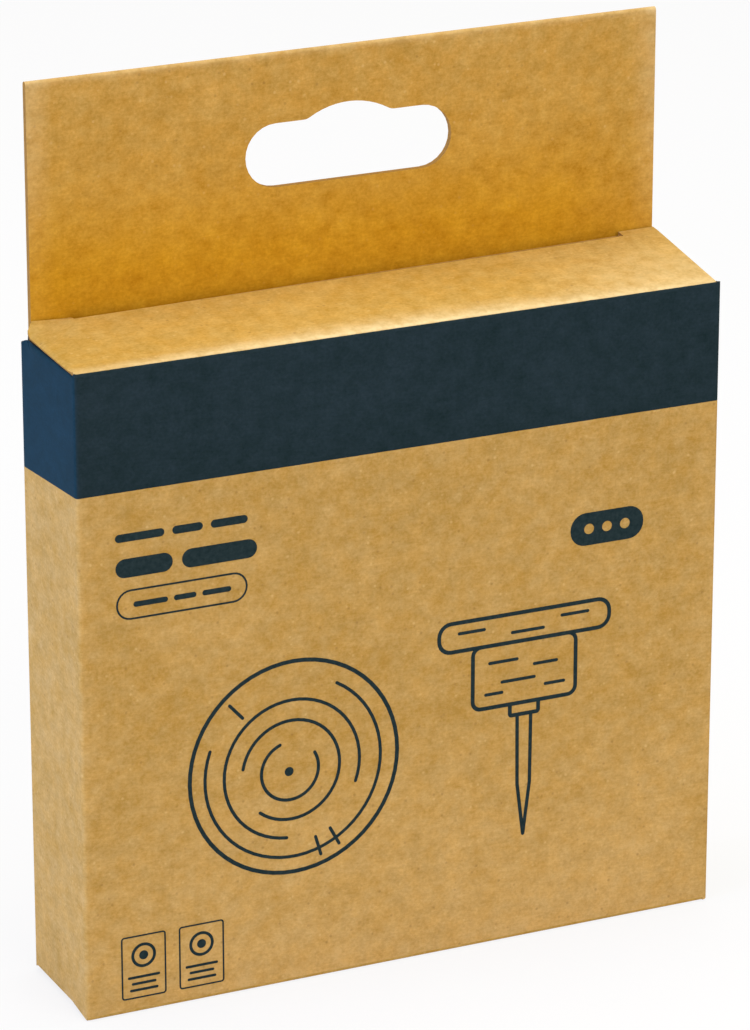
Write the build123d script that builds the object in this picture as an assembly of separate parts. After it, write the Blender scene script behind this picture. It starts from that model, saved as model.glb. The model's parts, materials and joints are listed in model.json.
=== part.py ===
from build123d import *
import os

# A hanging folding carton of kraft board, with the wooden push pins that it holds.
# Sizes are in millimetres. X runs along the front, Y towards the back and Z up.
# The origin is on the surface that the carton stands on, under the middle of the carton.

# Board and how closely it folds
board = 0.5
crease_gap = 0.05
sheet_gap = 0.1

# Carton
carton_width = 100.0
carton_height = 97.0
corner_relief = 1.3
glue_flap_width = 12.0
glue_flap_end_gap = 4.0
glue_flap_taper = 3.0

# Hang tab and its slot
tab_height = 36.0
tab_side_inset = 1.3
tab_ply_gap = 0.3
slot_width = 32.0
slot_height = 9.3
slot_below_tab_top = 10.2
bump_width = 13.0
bump_height = 1.9
bump_blend = 2.0

# Tuck lids, tongues and dust flaps
lid_side_inset = 0.8
shoulder_width = 6.2
shoulder_gap = 0.15
slit_gap = 0.3
tongue_length = 13.0
tongue_taper = 1.5
tongue_corner = 8.0
tongue_front_gap = 0.45
tongue_fold_ratio = 0.6
tongue_swing_margin = 0.2
lid_spring_angle = 7.0
flap_length = 22.0
flap_front_gap = 0.5
flap_front_slope = 4.0
flap_rear_gap = 1.9
flap_corner = 2.5

# Push pins
pin_count = 25
head_diameter = 16.0
disc_thickness = 2.4
disc_top_round = 0.9
disc_under_round = 0.7
drum_diameter = 10.2
drum_height = 5.1
drum_round = 0.5
drum_root_blend = 0.6
needle_diameter = 1.2
needle_length = 8.7
needle_seat_depth = 5.0
needle_fit = 0.02
needle_point_length = 4.5
needle_point_diameter = 0.1
countersink = 0.3

# How the pins lie in the carton
pins_per_row = 5
pin_play = 0.3
stack_gap = 0.15

# Depth: one pin long, with the tongue behind it and room for the tongue to swing out
pin_length = disc_thickness + drum_height + needle_length
lid_reach = board / 2 + pin_play + pin_length + tongue_front_gap
tongue_kick = (1 - tongue_fold_ratio) * tongue_length
tongue_swing = tongue_kick * (tongue_kick + board) / (2 * lid_reach)
tongue_rear_gap = tongue_swing + tongue_swing_margin
inner_depth = pin_play + pin_length + tongue_front_gap + board + tongue_rear_gap + board
carton_depth = inner_depth + 2 * board

# Planes that the pieces share
inner_width = carton_width - 2 * board
front_inner = -inner_depth / 2
back_inner = inner_depth / 2
seam_front = back_inner - board
hinge_y = front_inner - board / 2
hinge_z = carton_height - board / 2
tongue_front = hinge_y + lid_reach
tongue_axis_z = carton_height - board
flap_axis_z = carton_height - 2 * board - sheet_gap
floor_z = carton_height - flap_axis_z
mid_height = Plane.XY.offset(carton_height / 2)

# The closed top lid springs up about its crease, and lifts the tongue with it
lid_turn = Pos(0, hinge_y, hinge_z) * Rot(lid_spring_angle, 0, 0) * Pos(0, -hinge_y, -hinge_z)
sprung_tongue_axis = (lid_turn * Pos(0, tongue_front, tongue_axis_z)).position
tongue_lift = Pos(0, sprung_tongue_axis.Y - tongue_front, sprung_tongue_axis.Z - tongue_axis_z)


def sheet_facing_up(outline, low_z):
    """A flat sheet of board with this plan, lying from low_z upwards."""
    return extrude(Pos(0, 0, low_z) * outline, board)


def run_along_x(section, length):
    """A section in Y and Z, run along X and centred on the carton."""
    return extrude(Plane.YZ.offset(-length / 2) * section, length)


def run_along_y(section, low_y, length):
    """A section in X and Z, run backwards from low_y."""
    return extrude(Plane.XZ.offset(-low_y) * section, -length)


def to_bottom(piece):
    """The matching piece of the closure at the other end of the carton."""
    return mirror(piece, about=mid_height)


def to_right(piece):
    """The matching piece at the other side of the carton."""
    return mirror(piece, about=Plane.YZ)


def corner_near(sketch, x, y):
    """The corner of a sketch that is nearest to this point."""
    return sketch.vertices().sort_by_distance((x, y, 0))[0]


def folded_wall_plan(side):
    """Plan of the front (side -1) or back (side 1) wall, with the round of both upright folds."""
    round_box = RectangleRounded(carton_width, carton_depth, board)
    strip = Pos(0, side * (carton_depth - board) / 2) * Rectangle(carton_width, board)
    return round_box & strip


def make_front_panel():
    """The front wall. Its two ends are rounded about the creases that the lids turn on."""
    wall = extrude(folded_wall_plan(-1), carton_height)
    section = Pos(hinge_y, carton_height / 2) * SlotOverall(carton_height, board, rotation=90)
    return wall & run_along_x(section, carton_width)


def make_back_panel():
    """The back wall, cut square at both ends."""
    return extrude(folded_wall_plan(1), carton_height)


def make_left_side_panel():
    """A side wall. Its ends curve over into the dust flaps, and its rear corners are cut off."""
    height = carton_height - 2 * (board + sheet_gap)
    fold = Pos(-inner_width / 2, carton_height / 2) * SlotOverall(height, 2 * board, rotation=90)
    strip = Pos(-(inner_width + board) / 2, carton_height / 2) * Rectangle(board, height)
    wall = run_along_y(fold & strip, front_inner, inner_depth)
    side_view = Rectangle(inner_depth, height)
    rear_corners = side_view.vertices().sort_by(Axis.X)[-2:]
    side_view = chamfer(rear_corners, corner_relief)
    return wall & run_along_x(Pos(0, carton_height / 2) * side_view, carton_width)


def make_glue_flap():
    """The seam flap of the right side wall, glued to the inside of the back wall."""
    long_edge = carton_height - 2 * glue_flap_end_gap
    outer_x = inner_width / 2
    inner_x = outer_x - glue_flap_width
    low = glue_flap_end_gap
    high = low + long_edge
    outline = make_face(
        Polyline(
            (outer_x, low),
            (outer_x, high),
            (inner_x, high - glue_flap_taper),
            (inner_x, low + glue_flap_taper),
            close=True,
        )
    )
    return run_along_y(outline, seam_front, board)


def hang_slot():
    """The slot that takes a shop hook: round ends, and a bump in the top that centres the carton."""
    top = slot_height / 2
    half_bump = bump_width / 2
    crown = ThreePointArc((-half_bump, top), (0, top + bump_height), (half_bump, top))
    bump = make_face(crown + Line(crown @ 1, crown @ 0))
    slot = SlotOverall(slot_width, slot_height) + bump
    shoulders = [corner_near(slot, -half_bump, top), corner_near(slot, half_bump, top)]
    return fillet(shoulders, bump_blend)


def make_hang_tab_ply(side):
    """The front (side -1) or rear (side 1) ply of the tab, with its half of the fold along the top."""
    tab_top = carton_height + tab_height
    low_z = carton_height + (tab_ply_gap if side < 0 else 0)
    ply_height = tab_top - low_z
    mid_z = (tab_top + low_z) / 2
    fold = Pos(back_inner, tab_top - board) * Circle(board)
    flat = Pos(back_inner, mid_z - board / 2) * Rectangle(2 * board, ply_height - board)
    half = Pos(back_inner + side * board / 2, mid_z) * Rectangle(board, ply_height)
    ply = run_along_x((fold + flat) & half, carton_width - 2 * tab_side_inset)
    slot_z = tab_top - slot_below_tab_top - slot_height / 2
    return ply - run_along_y(Pos(0, slot_z) * hang_slot(), seam_front, 2 * board)


def make_flat_lid():
    """A lid lying flat. Its rear edge curves to the tongue, between two shoulders that lock behind the slits."""
    lid_width = carton_width - 2 * lid_side_inset
    low_z = tongue_axis_z
    front_y = hinge_y + board / 2 + crease_gap
    flat_depth = tongue_front - front_y
    flat = Pos((front_y + tongue_front) / 2, low_z + board / 2) * Rectangle(flat_depth, board)
    fold = Pos(tongue_front, low_z) * Circle(board)
    fold_quarter = Pos(tongue_front + board / 2, low_z + board / 2) * Rectangle(board, board)
    lid = run_along_x(flat, lid_width)
    lid += run_along_x(fold & fold_quarter, lid_width - 2 * (shoulder_width + slit_gap))
    shoulder_depth = seam_front - shoulder_gap - tongue_front
    for side in (-1, 1):
        centre_x = side * (lid_width - shoulder_width) / 2
        centre_y = tongue_front + shoulder_depth / 2
        shoulder = Pos(centre_x, centre_y) * Rectangle(shoulder_width, shoulder_depth)
        lid += sheet_facing_up(shoulder, low_z)
    return lid


def make_tuck_tongue():
    """The tongue of a flat lid, which hangs from its rear edge inside the back wall."""
    root_half = carton_width / 2 - lid_side_inset - shoulder_width - slit_gap
    tip_half = root_half - tongue_taper
    high = tongue_axis_z - crease_gap
    low = tongue_axis_z - tongue_length
    outline = make_face(
        Polyline((-root_half, high), (root_half, high), (tip_half, low), (-tip_half, low), close=True)
    )
    outline = fillet([corner_near(outline, tip_half, low), corner_near(outline, -tip_half, low)], tongue_corner)
    return run_along_y(outline, tongue_front, board)


def make_top_left_dust_flap():
    """A dust flap, folded in from the side wall to lie under the lid."""
    root_x = -inner_width / 2 + crease_gap
    tip_x = -inner_width / 2 + flap_length
    front_y = front_inner + flap_front_gap
    rear_y = tongue_front - flap_rear_gap
    tip_front_y = front_y + flap_front_slope
    outline = make_face(
        Polyline((root_x, front_y), (tip_x, tip_front_y), (tip_x, rear_y), (root_x, rear_y), close=True)
    )
    outline = fillet([corner_near(outline, tip_x, tip_front_y), corner_near(outline, tip_x, rear_y)], flap_corner)
    return sheet_facing_up(outline, flap_axis_z)


def make_pin_head():
    """A turned wooden head on the Z axis: the disc's outer face is at zero and the drum is above it."""
    disc_r = head_diameter / 2
    drum_r = drum_diameter / 2
    bore_r = needle_diameter / 2 + needle_fit
    drum_end = disc_thickness + drum_height
    bore_end = drum_end - needle_seat_depth
    profile = make_face(
        Polyline(
            (0, 0),
            (disc_r, 0),
            (disc_r, disc_thickness),
            (drum_r, disc_thickness),
            (drum_r, drum_end),
            (bore_r, drum_end),
            (bore_r, bore_end),
            (0, bore_end),
            close=True,
        )
    )
    profile = fillet(corner_near(profile, disc_r, 0), disc_top_round)
    profile = fillet(corner_near(profile, disc_r, disc_thickness), disc_under_round)
    profile = fillet(corner_near(profile, drum_r, disc_thickness), drum_root_blend)
    profile = fillet(corner_near(profile, drum_r, drum_end), drum_round)
    profile = chamfer(corner_near(profile, bore_r, drum_end), countersink)
    return revolve(Plane.XZ * profile, Axis.Z)


def make_pin_needle():
    """A steel needle on the Z axis, from the end of the head's hole to its point."""
    needle_r = needle_diameter / 2
    seat = disc_thickness + drum_height - needle_seat_depth
    taper_start = pin_length - needle_point_length
    profile = make_face(
        Polyline(
            (0, seat),
            (needle_r, seat),
            (needle_r, taper_start),
            (needle_point_diameter / 2, pin_length),
            (0, pin_length),
            close=True,
        )
    )
    return revolve(Plane.XZ * profile, Axis.Z)


def pin_places():
    """The row number and the seat of each pin. Rows turn about, head to tail, and rest on each other."""
    column_pitch = inner_width / pins_per_row
    row_pitch = (head_diameter + needle_diameter) / 2 + stack_gap
    places = []
    for number in range(pin_count):
        row = number // pins_per_row
        column = number % pins_per_row
        x = (column - (pins_per_row - 1) / 2) * column_pitch
        z = floor_z + pin_play + head_diameter / 2 + row * row_pitch
        heads_at_front = row % 2 == 0
        y = front_inner + pin_play
        points_to = 1
        if not heads_at_front:
            y += pin_length
            points_to = -1
        places.append((row, Plane(origin=(x, y, z), x_dir=(1, 0, 0), z_dir=(0, points_to, 0))))
    return places


def make_pins():
    """All heads and needles. Needles of the rows that are held down share a node for each row."""
    head = make_pin_head()
    needle = make_pin_needle()
    places = pin_places()
    top_row = places[-1][0]
    pins = {}
    rows = {}
    for number, (row, seat) in enumerate(places, start=1):
        pins[f"pin_{number:02d}_head"] = seat * head
        placed_needle = seat * needle
        if row == top_row:
            pins[f"pin_{number:02d}_needle"] = placed_needle
        else:
            rows.setdefault(row, []).append(placed_needle)
    for row, needles in rows.items():
        pins[f"needles_of_row_{row + 1}"] = Compound(children=needles)
    return pins


def make_carton():
    """All pieces of the carton, by name."""
    left_wall = make_left_side_panel()
    flat_lid = make_flat_lid()
    tongue = make_tuck_tongue()
    left_flap = make_top_left_dust_flap()
    right_flap = to_right(left_flap)
    return {
        "front_panel": make_front_panel(),
        "back_panel": make_back_panel(),
        "left_side_panel": left_wall,
        "right_side_panel": to_right(left_wall),
        "glue_flap": make_glue_flap(),
        "hang_tab_rear_ply": make_hang_tab_ply(1),
        "hang_tab_front_ply": make_hang_tab_ply(-1),
        "top_lid": lid_turn * flat_lid,
        "top_tuck_tongue": tongue_lift * tongue,
        "top_left_dust_flap": left_flap,
        "top_right_dust_flap": right_flap,
        "bottom_lid": to_bottom(flat_lid),
        "bottom_tuck_tongue": to_bottom(tongue),
        "bottom_left_dust_flap": to_bottom(left_flap),
        "bottom_right_dust_flap": to_bottom(right_flap),
    }


os.makedirs("parts", exist_ok=True)
nodes = {**make_carton(), **make_pins()}
for name, piece in nodes.items():
    export_step(piece, f"parts/{name}.step")
print(f"carton depth {carton_depth:.3f}, tongue rear gap {tongue_rear_gap:.3f}, nodes {len(nodes)}")
print(f"top tongue turns at y {sprung_tongue_axis.Y:.4f}, z {sprung_tongue_axis.Z:.4f}")
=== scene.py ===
"""A kraft-board hanging carton of wooden push pins: its folded board, its print and its finish."""
import json
from math import asin, atan2, ceil, copysign, cos, degrees, exp, pi, radians, sin, sqrt

import bmesh
import bpy
import numpy as np
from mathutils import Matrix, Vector, noise
from mathutils.geometry import delaunay_2d_cdt


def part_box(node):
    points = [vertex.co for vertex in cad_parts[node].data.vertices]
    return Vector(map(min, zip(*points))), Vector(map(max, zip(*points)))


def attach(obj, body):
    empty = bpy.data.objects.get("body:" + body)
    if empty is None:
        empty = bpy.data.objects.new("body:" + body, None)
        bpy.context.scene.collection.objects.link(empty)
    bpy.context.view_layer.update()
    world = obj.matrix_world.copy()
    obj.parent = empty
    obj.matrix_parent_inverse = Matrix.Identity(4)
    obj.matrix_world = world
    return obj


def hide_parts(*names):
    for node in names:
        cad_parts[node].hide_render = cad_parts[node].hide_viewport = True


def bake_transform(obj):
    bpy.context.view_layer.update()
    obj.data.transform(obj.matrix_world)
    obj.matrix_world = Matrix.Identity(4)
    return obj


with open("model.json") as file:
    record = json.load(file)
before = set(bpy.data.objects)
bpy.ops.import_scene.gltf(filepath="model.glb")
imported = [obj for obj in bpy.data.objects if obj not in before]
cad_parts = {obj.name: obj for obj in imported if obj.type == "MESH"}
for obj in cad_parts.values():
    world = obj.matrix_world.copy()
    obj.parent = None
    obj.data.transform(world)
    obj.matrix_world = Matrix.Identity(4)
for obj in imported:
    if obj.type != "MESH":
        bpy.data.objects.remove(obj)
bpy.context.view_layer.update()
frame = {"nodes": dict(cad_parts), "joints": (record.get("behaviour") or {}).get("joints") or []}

MM = 0.001
TINY = 1e-7


# Places taken from the CAD frame, in millimetres

def node_box(node):
    """A CAD node's lowest and highest corner."""
    low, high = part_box(node)
    return low / MM, high / MM


def joint_place(name):
    """A point on a joint's axis."""
    return next(Vector(joint["pos_m"]) / MM for joint in frame["joints"] if joint["name"] == name)


front_low, front_high = node_box("front_panel")
tab_low, tab_high = node_box("hang_tab_front_ply")
flap_low, flap_high = node_box("top_left_dust_flap")
back_plane = node_box("back_panel")[1].y
side_top = node_box("left_side_panel")[1].z
glue_flap_end = node_box("glue_flap")[0].x
lid_half = node_box("top_lid")[1].x
board = front_high.y - front_low.y
half_width = front_high.x
height = front_high.z
tab_top = tab_high.z
tab_half = tab_high.x

# Mesh of the flat cut-outs
mesh_step = 4.0
lid_mesh_step = 1.5
tongue_mesh_step = 3.0
fold_step = 0.2
ear_step = 0.3
crease_step = 0.15
fold_clearance = 0.6
fold_margin = 0.5
rim_clearance = 0.1
merge_distance = 1e-6
sharp_angle = radians(40)

# Sizes of the folded board, in millimetres
print_room = 0.06
print_lift = 0.03
print_sink = 0.02
front_plane = front_low.y + print_room
fold_radius = 0.56
crease_radius = 0.6
rear_radius = 0.7
curl_radius = 0.55
bottom_gusset = 5.0
gusset_foot = 0.95
corner_step = 0.1
seam_gap = 0.2
kerf = 0.03
glue_flap_end_gap = 4.0
glue_flap_taper = 3.0

# Corner cuts of the blank: the relief at the rear, the cut beside the dust flap, the gusset and the front slope
top_corner = (1.2, 1.2, 0.0, 0.2)
bottom_corner = (0.62, 0.15, bottom_gusset, 0.35)

# How the panels sink in between their folds
panel_sag = 0.18
even_sag = 0.6
uneven_sag = 0.4
sag_wave = 34.0
sag_layer = 2.0
full_sag_width = 60.0

# Sizes of the tab and its slot
ply_gap = 0.04
slot_width = 32.0
slot_height = 9.3
slot_below_top = 10.2
bump_width = 13.0
bump_height = 1.9
bump_blend = 2.0

# Sizes of the lids, tongues and dust flaps
shoulder_width = 6.2
shoulder_clearance = 0.25
slit_gap = 0.3
tongue_length = 13.0
tongue_taper = 1.5
tongue_corner = 8.0
tongue_root = 1.5
tongue_bend = 2.5
flap_slope = 4.0
flap_corner = 2.5
flap_ink = 1.5
flap_root = 1.0
flap_bend = 1.2
ear_trim = 0.9
ear_length = 1.8
lid_rear_overhang = 0.45
bottom_flare_length = 1.0
rolled_drop = 0.3
rolled_width = 0.35
corner_ease = 1.2

# How the closed top lid springs up at its rear. The bulge scale makes the swelling as high as the bulge.
rise_in_middle = 2.45
rise_per_width = 0.0105
rise_past_crease = 0.6
left_flatness = 0.5
bulge = 0.45
bulge_scale = 27 / 4
left_ear_start = 43.4
left_ear_width = 6.2
left_ear_sink = 0.82
left_ear_rise = 1.37
left_ear_dip = 0.45
left_ear_bend = (0.98, 1.075)
left_ear_curve = 1.5

# The printed band: its depth below the top at the front, and how much lower it ends at the rear of the sides
band_depth = 18.1
band_drop_at_rear = 1.4
far_from_ink = -5.0

# Painted light and shade on the front's kraft: how pale it is at its foot, above the foot and under the band
painted_foot_light = 1.2
foot_start = 32.0
painted_middle_shade = -0.8
painted_top_shade = -1.0
fold_fade = 1.0
foot_left_fade = (2.0, 30.0)

# Rubbed places, and the painted highlight along the top lid's crease: how pale they are and how wide
edge_rub = (0.12, 0.5)
tab_fold_rub = (0.30, 0.8)
tab_side_rub = (0.2, 0.4)
crease_rub_and_highlight = (0.35, 0.5)
tongue_rub = (0.35, 0.6)
flap_rub = (0.3, 0.5)

# The painted highlight strip behind the top lid's crease, partly wear, its gain in the middle, and the painted
# sheen at the lid's right
highlight_strip_width = 0.9
highlight_strip_width_gain = 1.2
highlight_strip_share = 0.30
highlight_strip_share_gain = 0.22
right_sheen_span = (20.0, 40.0)
right_sheen_share = 0.36
right_sheen_reach = 12.0

# How much painted amber bounce light from the lid the tab's front ply has, from its top to its foot, and how
# much less at its right edge
amber_places = (0.0, 0.25, 0.45, 0.65, 0.8, 1.0)
amber_shares = (0.0, 0.13, 0.30, 0.66, 0.83, 0.84)
amber_edge_span = (34.0, 46.0)
amber_edge_loss = 0.4
amber_foot_span = (0.8, 0.95)


# Flat cut-outs and how they fold. On the flat blank, u is the place across it and v the place along it.

def folded_line(corners, radius):
    """A line with an arc to the left at each corner: its length, its arcs and a finder of places on it."""
    points = [Vector(corner) for corner in corners]
    runs = []
    arcs = []
    here = points[0]
    distance = 0.0
    for number in range(1, len(points)):
        heading = (points[number] - points[number - 1]).normalized()
        turns = number < len(points) - 1
        end = points[number] - heading * (radius if turns else 0.0)
        runs.append((distance, here, heading, False))
        distance += (end - here).length
        if turns:
            runs.append((distance, end, heading, True))
            arcs.append((distance, distance + radius * pi / 2))
            left = Vector((-heading.y, heading.x))
            here = end + (heading + left) * radius
            distance = arcs[-1][1]

    def place_at(v):
        passed = [run for run in runs if run[0] <= v + TINY or run is runs[0]]
        start, origin, heading, turning = passed[-1]
        right = Vector((heading.y, -heading.x))
        if not turning:
            return origin + heading * (v - start), right
        angle = (v - start) / radius
        outward = right * cos(angle) + heading * sin(angle)
        return origin + (outward - right) * radius, outward

    return distance, arcs, place_at


def below_face(place_at, distance, depth):
    """A place on a folded line, at a depth below its outer face."""
    point, outward = place_at(distance)
    return point - outward * depth


def mesh_lines(low, high, step, fine_spans=(), fine_step=fold_step):
    """Where a cut-out's mesh lines run: evenly, and close together across the folds."""
    lines = list(np.linspace(low, high, max(2, ceil((high - low) / step) + 1)))
    for start, end in fine_spans:
        lines = [line for line in lines if not start - fold_clearance < line < end + fold_clearance]
        lines += list(np.linspace(start, end, max(3, ceil((end - start) / fine_step) + 1)))
        lines += [start - fold_margin, end + fold_margin]
    return sorted(line for line in lines if low <= line <= high)


def with_crossings(outline, u_lines, v_lines):
    """An outline's points, and one more wherever a mesh line crosses it."""
    points = []
    for number, start in enumerate(outline):
        end = outline[(number + 1) % len(outline)]
        shares = {0.0}
        for axis, lines in enumerate((u_lines, v_lines)):
            span = end[axis] - start[axis]
            if abs(span) > TINY:
                shares.update((line - start[axis]) / span for line in lines)
        for share in sorted(shares):
            if 0 <= share < 1 - TINY:
                u = start[0] + share * (end[0] - start[0])
                v = start[1] + share * (end[1] - start[1])
                points.append((u, v))
    return points


def within(points, outline):
    """Which of the points lie inside an outline."""
    start = np.array(outline)
    end = np.roll(start, -1, axis=0)
    u, v = points[:, 0], points[:, 1]
    odd = np.zeros(len(points), bool)
    for (x0, y0), (x1, y1) in zip(start, end):
        if y0 != y1:
            crossed = (y0 > v) != (y1 > v)
            odd ^= crossed & (u < x0 + (v - y0) * (x1 - x0) / (y1 - y0))
    return odd


def covered(points, shapes):
    """Which of the points any of the shapes covers. A shape is an outline and its holes."""
    found = np.zeros(len(points), bool)
    for outline, holes in shapes:
        inside = within(points, outline)
        for hole in holes:
            inside &= ~within(points, hole)
        found |= inside
    return found


def cut_out(shapes, u_lines, v_lines):
    """The flat mesh of some shapes: its points and its triangles."""
    rim = []
    sides = []
    for outline, holes in shapes:
        for loop in [outline, *holes]:
            points = with_crossings(loop, u_lines, v_lines)
            first = len(rim)
            rim += points
            sides += [(first + k, first + (k + 1) % len(points)) for k in range(len(points))]
    grid = np.array([(u, v) for u in u_lines for v in v_lines])
    grid = grid[covered(grid, shapes)]
    gaps = np.array([np.min(np.hypot(*(np.array(rim) - point).T)) for point in grid])
    grid = grid[gaps > rim_clearance] if len(grid) else grid
    coordinates = [Vector(point) for point in rim] + [Vector(point) for point in grid]
    points, _, triangles, *_ = delaunay_2d_cdt(coordinates, sides, [], 0, merge_distance)
    points = np.array([tuple(point) for point in points])
    middles = np.array([points[list(triangle)].mean(axis=0) for triangle in triangles])
    kept = covered(middles, shapes)
    return points, [tuple(triangle) for triangle, keep in zip(triangles, kept) if keep]


def new_object(name, data):
    """An object in the scene."""
    shown = bpy.data.objects.new(name, data)
    bpy.context.scene.collection.objects.link(shown)
    return shown


def sheet(name, flat, place, thickness, finishes, **marks):
    """A closed piece of board or ink from a flat mesh that place() puts in space. Marks are stored on it."""
    points, triangles = flat
    used = sorted({corner for triangle in triangles for corner in triangle})
    renumbered = {corner: number for number, corner in enumerate(used)}
    points = points[used]
    triangles = [tuple(renumbered[corner] for corner in triangle) for triangle in triangles]
    count = len(points)
    sides = {(a, b) for t in triangles for a, b in zip(t, t[1:] + t[:1])}
    rim = [(a, b) for a, b in sides if (b, a) not in sides]
    flat_places = [(u, v, depth) for depth in (0.0, thickness) for u, v in points]
    faces = list(triangles)
    faces += [tuple(corner + count for corner in reversed(triangle)) for triangle in triangles]
    faces += [(b, a, a + count, b + count) for a, b in rim]
    mesh = bpy.data.meshes.new(name)
    mesh.from_pydata([Vector(place(*flat_place)) * MM for flat_place in flat_places], [], faces)
    layer_of_face = [0] * len(triangles) + [1] * len(triangles) + [2] * len(rim)
    mesh.polygons.foreach_set("material_index", [min(layer, len(finishes) - 1) for layer in layer_of_face])
    blank = mesh.attributes.new("blank", "FLOAT_VECTOR", "POINT")
    blank.data.foreach_set("vector", np.array(flat_places, np.float32).ravel())
    for title, rule in marks.items():
        mark = mesh.attributes.new(title, "FLOAT", "POINT")
        mark.data.foreach_set("value", [rule(u, v) for u, v in points] * 2)
    for finish in finishes:
        mesh.materials.append(finish)
    work = bmesh.new()
    work.from_mesh(mesh)
    bmesh.ops.recalc_face_normals(work, faces=work.faces)
    work.to_mesh(mesh)
    work.free()
    mesh.shade_smooth()
    mesh.set_sharp_from_angle(angle=sharp_angle)
    return new_object(name, mesh)


def arc(centre, radius, start, end, steps):
    """Points along an arc, its angles in degrees."""
    angles = np.radians(np.linspace(start, end, steps + 1))
    return [(centre[0] + radius * cos(a), centre[1] + radius * sin(a)) for a in angles]


def unprinted(u, v):
    """Far from any ink."""
    return far_from_ink


def near(distance, width):
    """1 at no distance, falling softly to 0 within about twice the width."""
    return exp(-(distance / width) ** 2)


def paleness_at(distance, rub):
    """How pale a rubbed fold or edge, or a painted highlight along a crease, is at a distance from it."""
    share, width = rub
    return share * near(distance, width)


# Shader helpers

def colour(red, green, blue):
    """A display colour from 0 to 255 as shader values."""
    shares = [channel / 255 for channel in (red, green, blue)]
    linear = [s / 12.92 if s <= 0.04045 else ((s + 0.055) / 1.055) ** 2.4 for s in shares]
    return (*linear, 1.0)


def set_inputs(tree, node, inputs):
    """Sets a node's sockets to values or joins them to other sockets."""
    for title, value in inputs.items():
        if isinstance(value, bpy.types.NodeSocket):
            tree.links.new(value, node.inputs[title])
        else:
            node.inputs[title].default_value = value


def add_node(tree, kind, inputs=None, **settings):
    """A shader node with its settings made and its sockets set."""
    node = tree.nodes.new(f"ShaderNode{kind}")
    for title, value in settings.items():
        setattr(node, title, value)
    set_inputs(tree, node, inputs or {})
    return node


def texture(tree, vector, scale, detail=4.0, roughness=0.6, distortion=0.0):
    """Soft noise over a vector."""
    settings = {"Vector": vector, "Scale": scale, "Detail": detail, "Roughness": roughness,
                "Distortion": distortion}
    return add_node(tree, "TexNoise", settings).outputs["Fac"]


def scaled(tree, vector, scale):
    """A vector scaled along its axes."""
    return add_node(tree, "Mapping", {"Vector": vector, "Scale": scale}).outputs["Vector"]


def rotated(tree, vector, turn, axis):
    """A vector turned about one axis."""
    settings = {"Vector": vector, "Angle": turn}
    return add_node(tree, "VectorRotate", settings, rotation_type=axis).outputs["Vector"]


def stretched(tree, vector, scale, turn=0.0):
    """A vector scaled along its axes after a turn in its plane."""
    return scaled(tree, rotated(tree, vector, turn, "Z_AXIS"), scale)


def calculated(tree, operation, first, second):
    """One sum over two values."""
    return add_node(tree, "Math", {0: first, 1: second}, operation=operation).outputs[0]


def weighed_sum(tree, parts):
    """The sum of some values, each times its share."""
    total = 0.0
    for value, share in parts:
        settings = {0: value, 1: share, 2: total}
        total = add_node(tree, "Math", settings, operation="MULTIPLY_ADD").outputs[0]
    return total


def ranged(tree, value, low, high, to_low=0.0, to_high=1.0):
    """A value moved from one range to another and held inside it."""
    settings = {"Value": value, "From Min": low, "From Max": high, "To Min": to_low, "To Max": to_high}
    return add_node(tree, "MapRange", settings).outputs["Result"]


def mixed(tree, share, first, second):
    """A colour between two others."""
    return add_node(tree, "Mix", {0: share, 6: first, 7: second}, data_type="RGBA").outputs[2]


def stored(tree, title, output="Fac"):
    """A value stored on the mesh."""
    return add_node(tree, "Attribute", attribute_name=title).outputs[output]


def new_finish(name):
    """An empty finish: the material, its node tree and its shader."""
    material = bpy.data.materials.new(name)
    material.use_nodes = True
    return material, material.node_tree, material.node_tree.nodes["Principled BSDF"]


def set_surface(tree, shader, surface, roughness, gloss):
    """Gives a finish its colour, its roughness and its gloss."""
    set_inputs(tree, shader, {"Base Color": surface, "Roughness": roughness, "Specular IOR Level": gloss})


def add_bump(tree, shader, relief, strength, depth):
    """Fine relief on a finish, its depth in millimetres."""
    bump = add_node(tree, "Bump", {"Height": relief, "Strength": strength, "Distance": depth * MM})
    tree.links.new(bump.outputs["Normal"], shader.inputs["Normal"])


# Colours, as they are displayed
ink_dark = colour(24, 40, 44)
ink_light = colour(41, 55, 64)
# The side panels' ink is bluer than the front's: a painted cool sheen of the light from the left.
side_ink_dark_painted_sheen = colour(17, 45, 57)
side_ink_light_painted_sheen = colour(32, 59, 74)
print_light = colour(44, 58, 62)
# Pale fibres of rubbed board, also the colour of the top lid's painted highlight and sheen.
pale_fibre_and_highlight = colour(244, 224, 184)
dark_speck = colour(140, 100, 54)
pale_speck = colour(226, 192, 134)
# Painted amber bounce light from the lid on the tab's front ply.
amber = (colour(184, 121, 0), colour(222, 163, 16))
edge_fibres = (colour(152, 110, 54), colour(178, 134, 72))
wood_fleck = colour(150, 104, 62)
steel = colour(206, 207, 208)

# Kraft board. Clouds have a scale, a detail, a roughness and a share, and fibres a turn and a share.
kraft_clouds = ((0.06, 2.0, 0.6, 0.10), (0.2, 3.0, 0.6, 0.20), (0.50, 4.0, 0.6, 0.26), (2.0, 3.0, 0.7, 0.20))
patch_layer = 2
kraft_fibres = ((0.05, 0.14), (0.75, 0.06), (-0.6, 0.06))
fibre_stretch = (0.5, 3.2, 1.0)
painted_front_light_gain = 0.045
shown_tones = (0.385, 0.625)
drift_scale = 0.33
drift_tones = (0.35, 0.65)
middle_tones = (0.4, 0.6)
rub_and_highlight_tones = (0.35, 0.6)
least_rub_and_highlight = 0.6
ink_raggedness = 0.03
ink_softness = 0.02
board_roughness = (0.62, 0.74)
board_gloss = 0.03
board_bump = (0.4, 0.08)

# Specks: their cells' scale, which cells have one, their radius, and each kind's place, share and colour
speck_scale = 0.9
speck_choice = (0.70, 0.78)
speck_radius = (0.10, 0.26)
speck_kinds = ((7.0, 0.40, dark_speck), (31.0, 0.35, pale_speck))

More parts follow.
